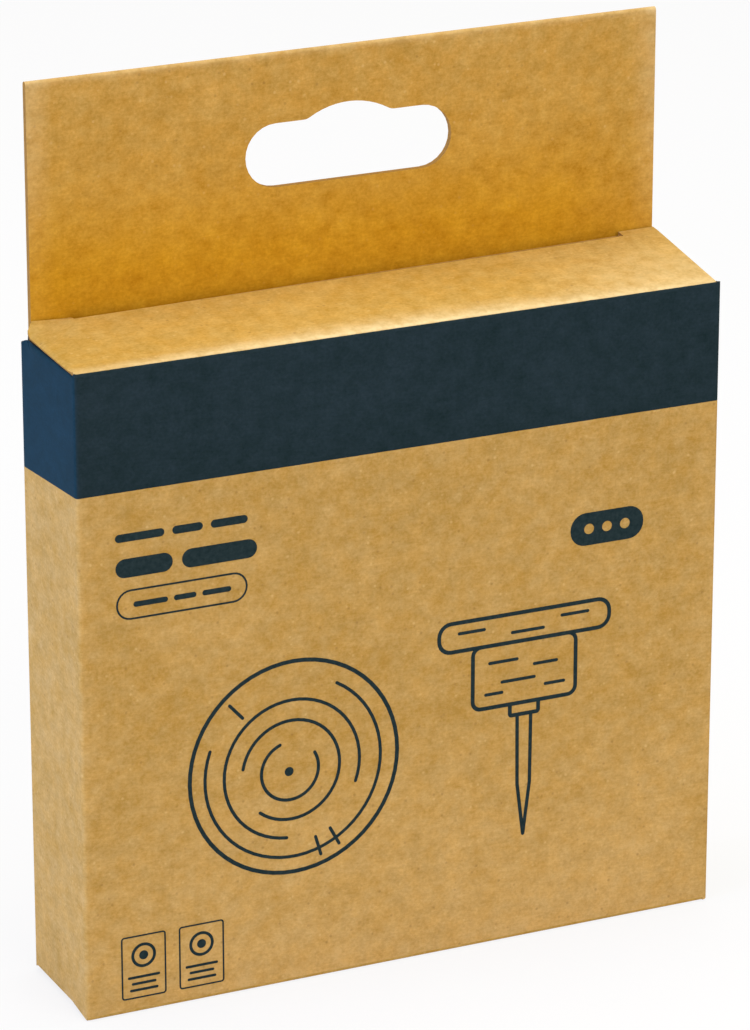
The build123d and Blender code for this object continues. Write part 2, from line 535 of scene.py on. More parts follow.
# Cut edges, print, wood and steel
grain_tones = (0.3, 0.7)
edge_layers = (1.2, 1.2, 9.0)
edge_stain = (0.05, 0.15)
edge_stain_share = 0.85
edge_roughness = 0.8
print_grain = 1.4
print_tones = (0.3, 0.75)
print_roughness = 0.6
wood_grain = (60.0, 500.0, 900.0)
wood_roughness = (0.5, 0.62)
wood_bump = (0.2, 0.05)
fleck_grain = (450.0, 1800.0, 2600.0)
fleck_radius = (0.10, 0.22)
fleck_share = 0.55
steel_grain = (9000.0, 200.0, 9000.0)
steel_roughness = (0.18, 0.34)


# Finishes

def specks(tree, vector, shift, strength):
    """Small scattered specks, in one cell of six."""
    moved = add_node(tree, "Mapping", {"Vector": vector, "Location": (shift, shift, 0.0)})
    cells = add_node(tree, "TexVoronoi", {"Vector": moved.outputs["Vector"], "Scale": speck_scale})
    chosen = ranged(tree, cells.outputs["Color"], *speck_choice)
    dots = ranged(tree, cells.outputs["Distance"], *speck_radius, strength, 0.0)
    return calculated(tree, "MULTIPLY", chosen, dots)


def kraft_finish(name, warm, cool, inked):
    """Kraft board: clouds, crossing fibres and specks, with pale rubbed folds and painted highlights, and the
    band of ink, bluer on the sides as a painted cool sheen, or painted amber bounce light.
    """
    material, tree, shader = new_finish(name)
    blank = stored(tree, "blank", "Vector")
    clouds = [texture(tree, blank, scale, detail, roughness) for scale, detail, roughness, _ in kraft_clouds]
    fibres = [texture(tree, stretched(tree, blank, fibre_stretch, turn), 1.0, distortion=0.8)
              for turn, _ in kraft_fibres]
    shares = [layer[-1] for layer in kraft_clouds + kraft_fibres]
    # The pale mark adds painted light and shade to the front's tone.
    tone = weighed_sum(tree, [*zip(clouds + fibres, shares), (stored(tree, "pale"), painted_front_light_gain)])
    shown = ranged(tree, tone, *shown_tones)
    drift = ranged(tree, texture(tree, blank, drift_scale, detail=3.0), *drift_tones)
    paper = mixed(tree, drift, mixed(tree, shown, *warm), mixed(tree, shown, *cool))
    for shift, strength, speck_colour in speck_kinds:
        paper = mixed(tree, specks(tree, blank, shift, strength), paper, speck_colour)
    # The wear mark pales rubbed fibres, and on the top lid it also paints a highlight and a sheen.
    rub_and_highlight_share = ranged(tree, clouds[patch_layer], *rub_and_highlight_tones, least_rub_and_highlight, 1.0)
    surface = mixed(tree, calculated(tree, "MULTIPLY", stored(tree, "wear"), rub_and_highlight_share), paper, pale_fibre_and_highlight)
    if inked:
        ragged_by = ranged(tree, tone, *middle_tones, -ink_raggedness, ink_raggedness)
        ragged = calculated(tree, "ADD", stored(tree, "ink"), ragged_by)
        front_ink = mixed(tree, shown, ink_dark, ink_light)
        # On the side panels the ink is bluer, a painted cool sheen.
        side_ink_painted_sheen = mixed(tree, shown, side_ink_dark_painted_sheen, side_ink_light_painted_sheen)
        shown_ink = mixed(tree, stored(tree, "side"), front_ink, side_ink_painted_sheen)
        surface = mixed(tree, ranged(tree, ragged, -ink_softness, ink_softness), surface, shown_ink)
    else:
        # Painted amber bounce light from the lid, where the tab's mark calls for it.
        surface = mixed(tree, stored(tree, "amber"), surface, mixed(tree, shown, *amber))
    roughness = ranged(tree, tone, *middle_tones, *board_roughness)
    set_surface(tree, shader, surface, roughness, board_gloss)
    add_bump(tree, shader, tone, *board_bump)
    return material


def edge_finish():
    """The cut edge of the board: fine layers along it, stained where the band of ink runs over it."""
    material, tree, shader = new_finish("kraft cut edge")
    layers = texture(tree, stretched(tree, stored(tree, "blank", "Vector"), edge_layers), 1.0)
    fibres = mixed(tree, ranged(tree, layers, *grain_tones), *edge_fibres)
    stained = ranged(tree, stored(tree, "ink"), *edge_stain, 0.0, edge_stain_share)
    set_surface(tree, shader, mixed(tree, stained, fibres, ink_dark), edge_roughness, board_gloss)
    return material


def print_finish():
    """Navy print that lets a little of the board's grain through."""
    material, tree, shader = new_finish("navy print")
    grain = texture(tree, stored(tree, "blank", "Vector"), print_grain, detail=5.0)
    ink = mixed(tree, ranged(tree, grain, *print_tones), ink_dark, print_light)
    set_surface(tree, shader, ink, print_roughness, board_gloss)
    return material


def wood_finish(name, turn, light, dark):
    """Pale turned wood with its grain across the head and short flecks along the grain."""
    material, tree, shader = new_finish(name)
    place = add_node(tree, "TexCoord").outputs["Object"]
    turned = rotated(tree, place, turn, "Y_AXIS")
    grain = texture(tree, scaled(tree, turned, wood_grain), 1.0, detail=6.0, distortion=0.8)
    fleck_vector = scaled(tree, turned, fleck_grain)
    cells = add_node(tree, "TexVoronoi", {"Vector": fleck_vector, "Scale": 1.0})
    fleck = ranged(tree, cells.outputs["Distance"], *fleck_radius, fleck_share, 0.0)
    wood = mixed(tree, ranged(tree, grain, *grain_tones), dark, light)
    roughness = ranged(tree, grain, *grain_tones, *wood_roughness)
    set_inputs(tree, shader, {"Base Color": mixed(tree, fleck, wood, wood_fleck), "Roughness": roughness})
    add_bump(tree, shader, grain, *wood_bump)
    return material


def steel_finish():
    """Drawn needle steel with fine lines along it."""
    material, tree, shader = new_finish("needle steel")
    place = add_node(tree, "TexCoord").outputs["Object"]
    drawn = texture(tree, scaled(tree, place, steel_grain), 1.0, detail=3.0)
    roughness = ranged(tree, drawn, *grain_tones, *steel_roughness)
    set_inputs(tree, shader, {"Base Color": steel, "Roughness": roughness, "Metallic": 1.0})
    return material


kraft_outside = kraft_finish("kraft outside", (colour(178, 135, 61), colour(214, 171, 105)),
                             (colour(175, 137, 71), colour(210, 172, 113)), True)
# The lid's kraft has less blue than the outside's: painted warmth of the light from above.
kraft_lid_painted_warm = kraft_finish("kraft lid", (colour(178, 135, 51), colour(214, 171, 95)),
                         (colour(175, 137, 61), colour(210, 172, 103)), True)
kraft_tab = kraft_finish("kraft tab", (colour(174, 127, 43), colour(214, 165, 89)),
                         (colour(171, 129, 53), colour(209, 167, 97)), False)
kraft_inside = kraft_finish("kraft inside", (colour(174, 136, 82), colour(204, 166, 110)),
                            (colour(170, 138, 86), colour(200, 168, 114)), False)
cut_edge = edge_finish()
navy_print = print_finish()
needle_steel = steel_finish()
board_finishes = [kraft_outside, kraft_inside, cut_edge]
lid_finishes = [kraft_lid_painted_warm, kraft_inside, cut_edge]
tab_finishes = [kraft_tab, kraft_inside, cut_edge]


# The sleeve: back, left, front and right panel and the glue flap in one folded strip

glue_plane = back_plane - board - ply_gap
sleeve_corners = [
    (half_width - seam_gap, back_plane),
    (-half_width, back_plane),
    (-half_width, front_plane),
    (half_width, front_plane),
    (half_width, glue_plane),
    (glue_flap_end, glue_plane),
]
sleeve_length, sleeve_folds, sleeve_at = folded_line(sleeve_corners, fold_radius)
rear_left_fold, left_fold, right_fold, rear_right_fold = sleeve_folds
front_start = left_fold[1] - fold_radius
front_top = height - crease_radius
lid_flare = half_width - fold_radius * (1 - sqrt(0.5))
panel_ends = [0.0, *[end for fold in sleeve_folds for end in fold], sleeve_length]
panel_spans = list(zip(panel_ends[::2], panel_ends[1::2]))

# The tops and bottoms of the sides curl in from here to the roots of the dust flaps
side_bend = side_top - curl_radius
side_reach = side_bend + curl_radius * pi / 2
side_foot = height - side_top
curls = [(height - side_reach, height - side_bend), (side_bend, side_reach)]
top_curl_spans = [(rear_left_fold[1], left_fold[0]), (right_fold[1], rear_right_fold[0])]
bottom_curl_spans = [(rear_left_fold[1], left_fold[0] - bottom_gusset - kerf),
                     (right_fold[1] + bottom_gusset + kerf, rear_right_fold[0])]


def sag_at(u, v):
    """How far a panel's middle sinks in, with soft unevenness, at a place on the blank."""
    for start, end in panel_spans:
        if start < u < end:
            hollow = sin(pi * (u - start) / (end - start)) * sin(pi * v / height)
            wave = noise.noise(Vector((u / sag_wave, v / sag_wave, sag_layer)))
            uneven = even_sag + uneven_sag * wave
            return panel_sag * max(0.0, hollow) * uneven * min(1.0, (end - start) / full_sag_width)
    return 0.0


def place_sleeve(u, v, depth):
    """A point of the folded sleeve. The tops and bottoms of the sides curl in towards the dust flaps."""
    middle = height / 2
    curl_spans = top_curl_spans if v > middle else bottom_curl_spans
    on_side = any(start <= u <= end for start, end in curl_spans)
    beyond = abs(v - middle) - (side_bend - middle)
    if on_side and beyond > 0:
        angle = beyond / curl_radius
        inner = curl_radius - depth
        inset = curl_radius - inner * cos(angle)
        z = middle + copysign(side_bend - middle + inner * sin(angle), v - middle)
    else:
        inset = depth
        z = v
    point = below_face(sleeve_at, u, inset + sag_at(u, v))
    return point.x, point.y, z


def sleeve_wear(u, v):
    """The cut edges are a little rubbed."""
    return paleness_at(min(v, height - v), edge_rub)


def band_edge(u):
    """How high the printed band's lower edge is along the blank."""
    places = [rear_left_fold[1], left_fold[0], right_fold[1], rear_right_fold[0]]
    low_edge = height - band_depth - band_drop_at_rear
    return np.interp(u, places, [low_edge, height - band_depth, height - band_depth, low_edge])


def sleeve_ink(u, v):
    """How far inside the printed band a place is."""
    return v - band_edge(u)


def painted_front_light(u, v):
    """Painted light and shade: the front's kraft is a little darker below the band and paler towards its foot,
    except at the left.
    """
    edge = band_edge(u)
    places = [0.0, foot_start, edge, edge + mesh_step]
    pale = np.interp(v, places, [painted_foot_light, painted_middle_shade, painted_top_shade, 0.0])
    from_left = u - left_fold[1]
    within_front = np.interp(min(from_left, right_fold[0] - u), [0.0, fold_fade], [0.0, 1.0])
    return within_front * (pale if pale < 0 else pale * np.interp(from_left, foot_left_fade, [0.0, 1.0]))


def painted_side_sheen_share(u, v):
    """1 on the side panels, where the ink takes a painted cool sheen, and 0 on the front and back, changing
    across the upright folds.
    """
    middles = [sum(fold) / 2 for fold in sleeve_folds]
    places = [middle + step * corner_step for middle in middles for step in (-1, 1)]
    return np.interp(u, places, [0, 1, 1, 0, 0, 1, 1, 0])


def blank_across(x):
    """Where a place across the front lies on the blank, also part way round a front fold."""
    past = abs(x) - half_width + fold_radius
    turned_by = fold_radius * asin(past / fold_radius) if past > 0 else past
    return left_fold[1] - turned_by if x < 0 else right_fold[0] + turned_by


def front_corner(gusset):
    """From a dust flap's front end to its panel's foot, by distances from the front fold and from the end."""
    if gusset:
        flap_end = gusset + 2 * kerf
        return [(flap_end, height - side_reach), (gusset + kerf, height - side_bend), (gusset, gusset_foot)]
    return [(corner_step, height - side_reach), (0.0, side_foot + corner_step)]


def end_edge(relief, corner_cut, gusset, corner_slope):
    """The blank's edge at one end of the carton, by its distance from that end."""
    tab_start = half_width - seam_gap + tab_half + kerf
    left_cut = blank_across(-lid_flare) - kerf
    right_cut = blank_across(lid_half) + kerf
    return [
        (0.0, 0.0),
        (tab_start, 0.0),
        (tab_start + corner_step, relief),
        (rear_left_fold[0], relief),
        (rear_left_fold[1], relief),
        (rear_left_fold[1] + corner_cut, height - side_reach),
        *[(left_fold[0] - before, above) for before, above in front_corner(gusset)],
        (left_fold[0] + corner_slope, 2 * corner_step),
        (left_cut, corner_step),
        (left_cut, crease_radius),
        (right_cut, crease_radius),
        (right_cut, corner_step),
        (right_fold[1] - corner_slope, 2 * corner_step),
        *[(right_fold[1] + before, above) for before, above in reversed(front_corner(gusset))],
        (rear_right_fold[0] - corner_cut, height - side_reach),
        (rear_right_fold[0], relief),
        (rear_right_fold[1], glue_flap_end_gap),
        (sleeve_length, glue_flap_end_gap + glue_flap_taper),
    ]


sleeve_outline = end_edge(*bottom_corner)
top_edge = end_edge(*top_corner)
sleeve_outline += [(u, height - v) for u, v in reversed(top_edge)]
sleeve_flat = cut_out([(sleeve_outline, [])], mesh_lines(0.0, sleeve_length, mesh_step, sleeve_folds),
                      mesh_lines(0.0, height, mesh_step, curls))
# The pale mark paints light and shade on the front.
# The side mark gives the sides' ink its painted cool sheen.
sleeve = sheet("carton_sleeve", sleeve_flat, place_sleeve, board, board_finishes, wear=sleeve_wear,
               ink=sleeve_ink, side=painted_side_sheen_share, pale=painted_front_light)
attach(sleeve, "carton")
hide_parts("front_panel", "back_panel", "left_side_panel", "right_side_panel", "glue_flap")


# The hang tab: two plies folded over the top, with the slot through both

ply_fold = (back_plane - tab_low.y) / 2
tab_corners = [(back_plane, height), (back_plane, tab_top), (tab_low.y, tab_top), (tab_low.y, tab_low.z)]
tab_length, tab_folds, tab_at = folded_line(tab_corners, ply_fold)
tab_span = (tab_folds[0][0], tab_folds[-1][1])
fold_middle = sum(tab_span) / 2


def slot_outline(top):
    """The slot with round ends and a bump, its upper edge at a given height."""
    round_end = slot_height / 2
    straight = slot_width / 2 - round_end
    bump_radius = ((bump_width / 2) ** 2 + bump_height ** 2) / (2 * bump_height)
    bump_centre = top + bump_height - bump_radius
    blend_rise = bump_blend - bump_height + bump_radius
    blend_across = sqrt((bump_radius + bump_blend) ** 2 - blend_rise ** 2)
    lean = degrees(atan2(blend_rise, blend_across))
    right_half = arc((straight, top - round_end), round_end, -90, 90, 14)
    right_half += arc((blend_across, top + bump_blend), bump_blend, 270, 180 + lean, 5)
    right_half += arc((0.0, bump_centre), bump_radius, lean, 90, 6)
    return right_half + [(-x, z) for x, z in reversed(right_half[:-1])]


def place_tab(u, v, depth):
    """A point of the folded tab."""
    point = below_face(tab_at, v, depth)
    return u, point.x, point.y


def tab_wear(u, v):
    """The fold at the top and the tab's sides are a little rubbed."""
    return paleness_at(v - fold_middle, tab_fold_rub) + paleness_at(tab_half - abs(u), tab_side_rub)


def tab_amber(u, v):
    """Painted warm bounce light from the lid: the front ply is more amber towards its foot, and less at its
    right edge above the foot.
    """
    below_fold = (v - fold_middle) / (tab_length - fold_middle)
    above_foot = np.interp(below_fold, amber_foot_span, (1.0, 0.0))
    lost = np.interp(u, amber_edge_span, (0.0, amber_edge_loss)) * above_foot
    return np.interp(below_fold, amber_places, amber_shares) * (1 - lost)


rear_slot = [(x, z - height) for x, z in slot_outline(tab_top - slot_below_top)]
front_slot = [(u, 2 * fold_middle - v) for u, v in rear_slot]
tab_outline = [(-tab_half, 0.0), (tab_half, 0.0), (tab_half, tab_length), (-tab_half, tab_length)]
tab_flat = cut_out([(tab_outline, [rear_slot, front_slot])], mesh_lines(-tab_half, tab_half, mesh_step),
                   mesh_lines(0.0, tab_length, mesh_step, [tab_span], crease_step))
tab = sheet("hang_tab", tab_flat, place_tab, ply_fold - ply_gap / 2, tab_finishes,
            wear=tab_wear, amber=tab_amber)
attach(tab, "carton")
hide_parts("hang_tab_rear_ply", "hang_tab_front_ply")


# The lids and their tongues, cut flat, folded and sprung

shoulder_rear = tab_low.y - shoulder_clearance
hinge_y = front_plane + crease_radius
top_tongue_y = joint_place("top_tongue_crease").y


def spring_lift(x, y):
    """How far the closed top lid stands above its flat place: higher to the right, its left ear bent up."""
    share = max(0.0, (y - hinge_y) / (top_tongue_y - hinge_y))
    forward = min(1.0, share)
    to_left = max(0.0, -x / half_width)
    ear = min(1.0, max(0.0, (-left_ear_start - x) / left_ear_width))
    bend_start, bend_end = left_ear_bend
    bent = max(0.0, (share - bend_start) / (bend_end - bend_start)) ** left_ear_curve
    past_crease = 1 + rise_past_crease * max(0.0, share - 1)
    rise = rise_in_middle + rise_per_width * x
    spring = rise * (1 - left_ear_sink * ear) * forward ** (1.0 + left_flatness * to_left) * past_crease
    turned_up = left_ear_rise * ear - left_ear_dip * (1 - ear) * to_left
    pillow = bulge * cos(pi * x / (2 * half_width)) ** 2
    return spring + bent * turned_up + pillow * bulge_scale * forward * (1 - forward) ** 2


def nothing(x, y):
    """No lift, wear or painted highlight anywhere."""
    return 0.0


def lid_wear(x, behind):
    """A painted highlight, partly wear, where the lid rolls over to its front crease, and a painted sheen over
    the lid's right.
    """
    middle_share = cos(pi * x / (2 * half_width))
    past = max(0.0, behind)
    strip = near(past, highlight_strip_width + highlight_strip_width_gain * middle_share)
    strip *= highlight_strip_share + highlight_strip_share_gain * middle_share
    painted_right_sheen = right_sheen_share * np.interp(x, right_sheen_span, (0.0, 1.0)) * near(past, right_sheen_reach)
    return strip + middle_share * paleness_at(behind, crease_rub_and_highlight) + painted_right_sheen * (1 - strip)


def fold_inset(x):
    """How far the upright fold at a front corner has turned back at a place across the lid."""
    share = max(0.0, (abs(x) - half_width + fold_radius) / fold_radius)
    return fold_radius * (1 - sqrt(1 - share * share))


def upright(point):
    """A place at the top of the carton as it is."""
    return point


def upside_down(point):
    """A place at the top of the carton brought to its bottom."""
    return point[0], point[1], height - point[2]


def tongue_face_of(end):
    """How far back the outer face of a tuck tongue is."""
    return joint_place(f"{end}_tongue_crease").y + board


def make_lid(end, lift, turned, flare_length, rear_half, inked, wear):
    """A lid with its shoulders, at the top or bottom end of the carton."""
    lid_line = [(shoulder_rear, height), (front_plane, height), (front_plane, front_top)]
    lid_length, lid_folds, lid_at = folded_line(lid_line, crease_radius)
    crease = lid_folds[0]
    notch = shoulder_rear - (tongue_face_of(end) - rear_radius)
    slit = lid_half - shoulder_width
    flare_end = max(ear_trim, crease[0] - flare_length)
    left_places = [0.0, ear_trim, flare_end + TINY, crease[0]]
    left_sizes = [tab_half, rear_half, rear_half, lid_flare]
    ink_start = sum(crease) / 2 if inked else lid_length + mesh_step

    def place_lid(u, v, depth):
        point = below_face(lid_at, v, depth)
        eased = min(1.0, max(0.0, 1 - (crease[0] - v) / corner_ease))
        to_side = u + np.interp(v, left_places, left_sizes)
        along_edge = min(1.0, max(0.0, v / ear_trim - 1)) * (1 - eased)
        rolled = rolled_drop * near(to_side, rolled_width) * along_edge * (1 - depth / board)
        back = point.x + eased * fold_inset(u)
        return turned((u, back, point.y + lift(u, point.x) - rolled))

    outline = [(slit, notch), (slit, 0.0), (tab_half, 0.0), (lid_half, crease[0]), (lid_half, lid_length)]
    outline += [(-lid_flare, lid_length), (-lid_flare, crease[0]), (-rear_half, flare_end)]
    outline += [(-rear_half, ear_trim), (-tab_half, 0.0), (-slit, 0.0), (-slit, notch)]
    u_lines = mesh_lines(-lid_flare, lid_half, mesh_step, [(-lid_flare, -slit)], ear_step)
    v_lines = mesh_lines(0.0, lid_length, lid_mesh_step, [(0.0, ear_length), crease], crease_step)
    flat = cut_out([(outline, [])], u_lines, v_lines)
    lid = sheet(f"{end}_lid_board", flat, place_lid, board, lid_finishes,
                wear=lambda u, v: wear(u, crease[0] - v),
                ink=lambda u, v: v - ink_start)
    start = turned((0.0, front_plane, front_top))
    stop = turned((0.0, hinge_y, height))
    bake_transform(lid)
    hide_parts(f"{end}_lid")


def make_tongue(end, lift, turned):
    """A lid's tuck tongue, at the top or bottom end of the carton."""
    tongue_face = tongue_face_of(end)
    main_rear = tongue_face - rear_radius
    tongue_half = lid_half - shoulder_width - slit_gap
    tip = height - board - tongue_length
    tongue_line = [(tongue_face, tip), (tongue_face, height), (main_rear, height)]
    full_length, tongue_folds, tongue_at = folded_line(tongue_line, rear_radius)
    fold_line = sum(tongue_folds[0]) / 2

    def place_tongue(u, v, depth):
        point = below_face(tongue_at, v, depth)
        return turned((u, point.x, point.y + lift(u, tongue_face)))

    tip_half = tongue_half - tongue_taper
    right = arc((tip_half - tongue_corner, tongue_corner), tongue_corner, -90, 0, 10)
    right += [(tongue_half, full_length - tongue_root), (tongue_half, full_length)]
    outline = right + [(-u, v) for u, v in reversed(right)]
    flat = cut_out([(outline, [])], mesh_lines(-tongue_half, tongue_half, mesh_step),
                   mesh_lines(0.0, full_length, tongue_mesh_step, tongue_folds, crease_step))
    tongue = sheet(f"{end}_tongue_board", flat, place_tongue, board, lid_finishes,
                   wear=lambda u, v: paleness_at(v - fold_line, tongue_rub), ink=unprinted)
    lifted = height + lift(0.0, tongue_face)
    start = turned((0.0, main_rear, lifted))
    stop = turned((0.0, tongue_face, lifted - tongue_bend))
    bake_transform(tongue)
    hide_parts(f"{end}_tuck_tongue")


make_lid("top", spring_lift, upright, 2 * half_width, lid_half + lid_rear_overhang, True, lid_wear)
make_tongue("top", spring_lift, upright)
make_lid("bottom", nothing, upside_down, bottom_flare_length, lid_half, False, nothing)
make_tongue("bottom", nothing, upside_down)


# The dust flaps

def make_dust_flap(end, side, turned, moves):
    """One dust flap, from the curl at the top of a side panel to its rounded tip."""
    sign = -1 if side == "left" else 1
    root = half_width - curl_radius
    length = root - abs(flap_high.x)
    front = flap_low.y
    rear = flap_high.y
    ink_end = flap_ink if moves else far_from_ink

    def place_flap(u, v, depth):
        return turned((sign * (root - v), u, side_top - depth))

    outline = [(front, 0.0), (rear, 0.0)]
    outline += arc((rear - flap_corner, length - flap_corner), flap_corner, 0, 90, 8)
    outline += arc((front + flap_slope + flap_corner, length - flap_corner), flap_corner, 90, 160, 8)
    flat = cut_out([(outline, [])], mesh_lines(front, rear, mesh_step),
                   mesh_lines(0.0, length, mesh_step, [(0.0, flap_root)]))
    # A flap's inked root takes the sides' painted cool sheen.
    flap = sheet(f"{end}_{side}_flap_board", flat, place_flap, board, board_finishes,
                 wear=lambda u, v: paleness_at(v, flap_rub),
                 ink=lambda u, v: ink_end - v,
                 side=lambda u, v: 1.0)
    node = f"{end}_{side}_dust_flap"
    if moves:
        start = turned((sign * root, 0.0, side_top))
        stop = turned((sign * (root - flap_bend), 0.0, side_top))
        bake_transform(flap)
    else:
        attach(flap, "carton")
    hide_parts(node)


for flap_side in ("left", "right"):
    make_dust_flap("top", flap_side, upright, True)
    make_dust_flap("bottom", flap_side, upside_down, False)


# Places and sizes of the print, in millimetres from the front's left and top edges

# A row of bars has a left and a top end, a height, the lengths of its bars and the space between them
small_row = (5.6, 24.2, 1.2, (7.4, 4.6, 5.6), 1.2)
large_row = (5.6, 27.9, 2.8, (8.6, 11.4), 1.4)
label_row = (8.2, 34.4, 0.8, (5.2, 3.4, 4.4), 0.9)

# Boxes have a left, top, right and bottom end, and the first two a corner radius
label_box = (5.6, 32.5, 25.5, 37.0, 2.2)
label_line = 0.28
badge_box = (76.2, 32.2, 88.0, 37.2, 2.4)
badge_dot = 0.8
badge_dot_places = [(79.2 + 2.9 * number, 34.7) for number in range(3)]
small_boxes = ((5.4, 85.0, 12.3, 94.8), (14.3, 85.0, 21.3, 94.8))
small_box_round = 0.5
small_box_line = 0.24
small_ring_depth = 3.2
small_ring = (1.9, 0.45)
small_dot = 0.7
small_bar_shares = (0.72, 0.55, 0.64)
small_bar_depth = 6.3
small_bar_spacing = 1.0
small_bar_height = 0.4

# The slice of a log. A growth ring has a share of the radius and a gap between two angles.
art_line = 0.62
thin_share = 0.8
slice_middle = (32.5, 63.5)
slice_radius = 16.5
growth_rings = ((0.83, 200, 300), (0.64, 20, 95), (0.46, 130, 190), (0.27, 250, 330))
ring_shift = (-0.9, 0.7)
pith_shift = (-0.8, 0.6)
pith_radius = 0.7
check_angles = (62, 74, 228)
check_shares = (0.72, 0.8, 0.9)

# The push pin. Disc, drum and collar have half a width, an upper and a lower end and a corner radius.
pin_middle = 69.0
pin_top = 45.5
pin_parts = ((14.0, 0.0, 5.0, 2.2), (8.6, 5.0, 14.6, 1.6), (2.6, 14.6, 16.4, 0.6))
needle_start = (1.1, 16.4)
needle_waist = (1.0, 27.0)
needle_tip = 35.0
needle_share = 0.9

# A dash of the pin's grain has a start from the pin's middle, a depth and a length
grain_dashes = ((-10.5, 2.0, 4.0), (-2.0, 3.2, 5.0), (6.0, 1.8, 4.2), (-5.6, 7.4, 4.4),
                (1.6, 8.6, 3.6), (-3.6, 10.6, 5.2), (3.4, 12.0, 3.0), (-6.2, 12.2, 2.6))
print_extent = 100.0
least_round = 0.05


# The print on the front panel, as thin layers of ink

def bar(left, top, right, bottom, radius):
    """A rounded bar."""
    x0, x1 = left + radius, right - radius
    y0, y1 = top + radius, bottom - radius
    corners = ((x0, y0, 180), (x1, y0, 270), (x1, y1, 0), (x0, y1, 90))
    return [point for x, y, turn in corners for point in arc((x, y), radius, turn, turn + 90, 6)]


def outlined(left, top, right, bottom, radius, line):
    """A rounded box drawn with a line."""
    inner = bar(left + line, top + line, right - line, bottom - line, max(least_round, radius - line))
    return bar(left, top, right, bottom, radius), [inner]


def circle(centre, radius, sides):
    """A closed circle of short sides."""
    return arc(centre, radius, 0, 360 - 360 / sides, sides - 1)


def dot(centre, radius):
    """A small filled circle."""
    return circle(centre, radius, 18)


def ring(centre, radius, line):
    """A circle drawn with a line."""
    return circle(centre, radius, 60), [circle(centre, radius - line, 60)]


def stroke(points, line):
    """A line with round ends along some points."""
    path = [Vector(point) for point in points]
    left = []
    right = []
    for number, point in enumerate(path):
        before = path[max(0, number - 1)]
        after = path[min(len(path) - 1, number + 1)]
        heading = (after - before).normalized()
        side = Vector((-heading.y, heading.x)) * line / 2
        left.append(tuple(point + side))
        right.append(tuple(point - side))
    start = path[1] - path[0]
    end = path[-1] - path[-2]
    start_angle = degrees(atan2(start.y, start.x))
    end_angle = degrees(atan2(end.y, end.x))
    first_cap = arc(path[0], line / 2, start_angle + 90, start_angle + 270, 6)
    last_cap = arc(path[-1], line / 2, end_angle - 90, end_angle + 90, 6)
    return first_cap[1:-1] + right + last_cap[1:-1] + left[::-1], []


def bar_row(left, top, bar_height, lengths, space):
    """A row of rounded bars."""
    shapes = []
    for length in lengths:
        shapes.append((bar(left, top, left + length, top + bar_height, bar_height / 2), []))
        left += length + space
    return shapes


def wood_slice(centre, radius, line):
    """A slice of a log: bark, growth rings with breaks, its pith and short checks."""
    shapes = [ring(centre, radius, line)]
    for share, gap_start, gap_end in growth_rings:
        shifted = (centre[0] + ring_shift[0] * (1 - share), centre[1] + ring_shift[1] * (1 - share))
        shapes.append(stroke(arc(shifted, radius * share, gap_end, gap_start + 360, 44), line * thin_share))
    shapes.append((dot((centre[0] + pith_shift[0], centre[1] + pith_shift[1]), pith_radius), []))
    for angle in check_angles:
        direction = Vector((cos(radians(angle)), sin(radians(angle))))
        check = [Vector(centre) + direction * radius * share for share in check_shares]
        shapes.append(stroke(check, line * thin_share))
    return shapes


def pin_elevation(middle, top, line):
    """A push pin seen straight from the side: disc, drum, collar and needle, with short grain dashes."""
    shapes = []
    for half, upper, lower, radius in pin_parts:
        overlap = line if upper else 0.0
        start = top + upper - overlap
        shapes.append(outlined(middle - half, start, middle + half, top + lower, radius, line))
    for side in (-1, 1):
        edge = [(middle + side * needle_start[0], top + needle_start[1] - line / 2),
                (middle + side * needle_waist[0], top + needle_waist[1]),
                (middle, top + needle_tip)]
        shapes.append(stroke(edge, line * needle_share))
    for u, down, length in grain_dashes:
        dash = [(middle + u + share * length, top + down) for share in (0, 1 / 2, 1)]
        shapes.append(stroke(dash, line * thin_share))
    return shapes


def small_box(left, top, right, bottom, line):
    """A small outlined box with a ring and three bars."""
    middle = (left + right) / 2
    ring_middle = (middle, top + small_ring_depth)
    shapes = [outlined(left, top, right, bottom, small_box_round, line)]
    shapes.append(ring(ring_middle, *small_ring))
    shapes.append((dot(ring_middle, small_dot), []))
    for number, share in enumerate(small_bar_shares):
        half = (right - left) / 2 * share
        row = top + small_bar_depth + small_bar_spacing * number
        small_bar = bar(middle - half, row, middle + half, row + small_bar_height, small_bar_height / 2)
        shapes.append((small_bar, []))
    return shapes


def place_print(u, v, depth):
    """A point of a layer of ink on the front, from its distances to the left and top edges."""
    return place_sleeve(front_start + u, height - v, depth - print_lift)


navy_shapes = bar_row(*small_row)
navy_shapes += bar_row(*large_row)
navy_shapes.append(outlined(*label_box, label_line))
navy_shapes += bar_row(*label_row)
navy_shapes.append((bar(*badge_box), [dot(place, badge_dot) for place in badge_dot_places]))
navy_shapes += wood_slice(slice_middle, slice_radius, art_line)
navy_shapes += pin_elevation(pin_middle, pin_top, art_line)
for box_ends in small_boxes:
    navy_shapes += small_box(*box_ends, small_box_line)
print_lines = mesh_lines(0.0, print_extent, mesh_step)
front_print = sheet("front_print", cut_out(navy_shapes, print_lines, print_lines), place_print,
                    print_lift + print_sink, [navy_print])
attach(front_print, "carton")


# The push pins in the carton

wood_finishes = [
    wood_finish("turned wood 1", 0.3, colour(222, 190, 146), colour(204, 166, 118)),
    wood_finish("turned wood 2", 1.5, colour(218, 182, 134), colour(198, 156, 108)),
    wood_finish("turned wood 3", 2.6, colour(226, 198, 156), colour(208, 174, 128)),
]
for node_name, node in frame["nodes"].items():
    if node_name.startswith("pin_") and node_name.endswith("_head"):
        node.data.materials.clear()
        node.data.materials.append(wood_finishes[int(node_name.split("_")[1]) % len(wood_finishes)])
    elif "needle" in node_name:
        node.data.materials.clear()
        node.data.materials.append(needle_steel)


# Floor, light and camera, in metres

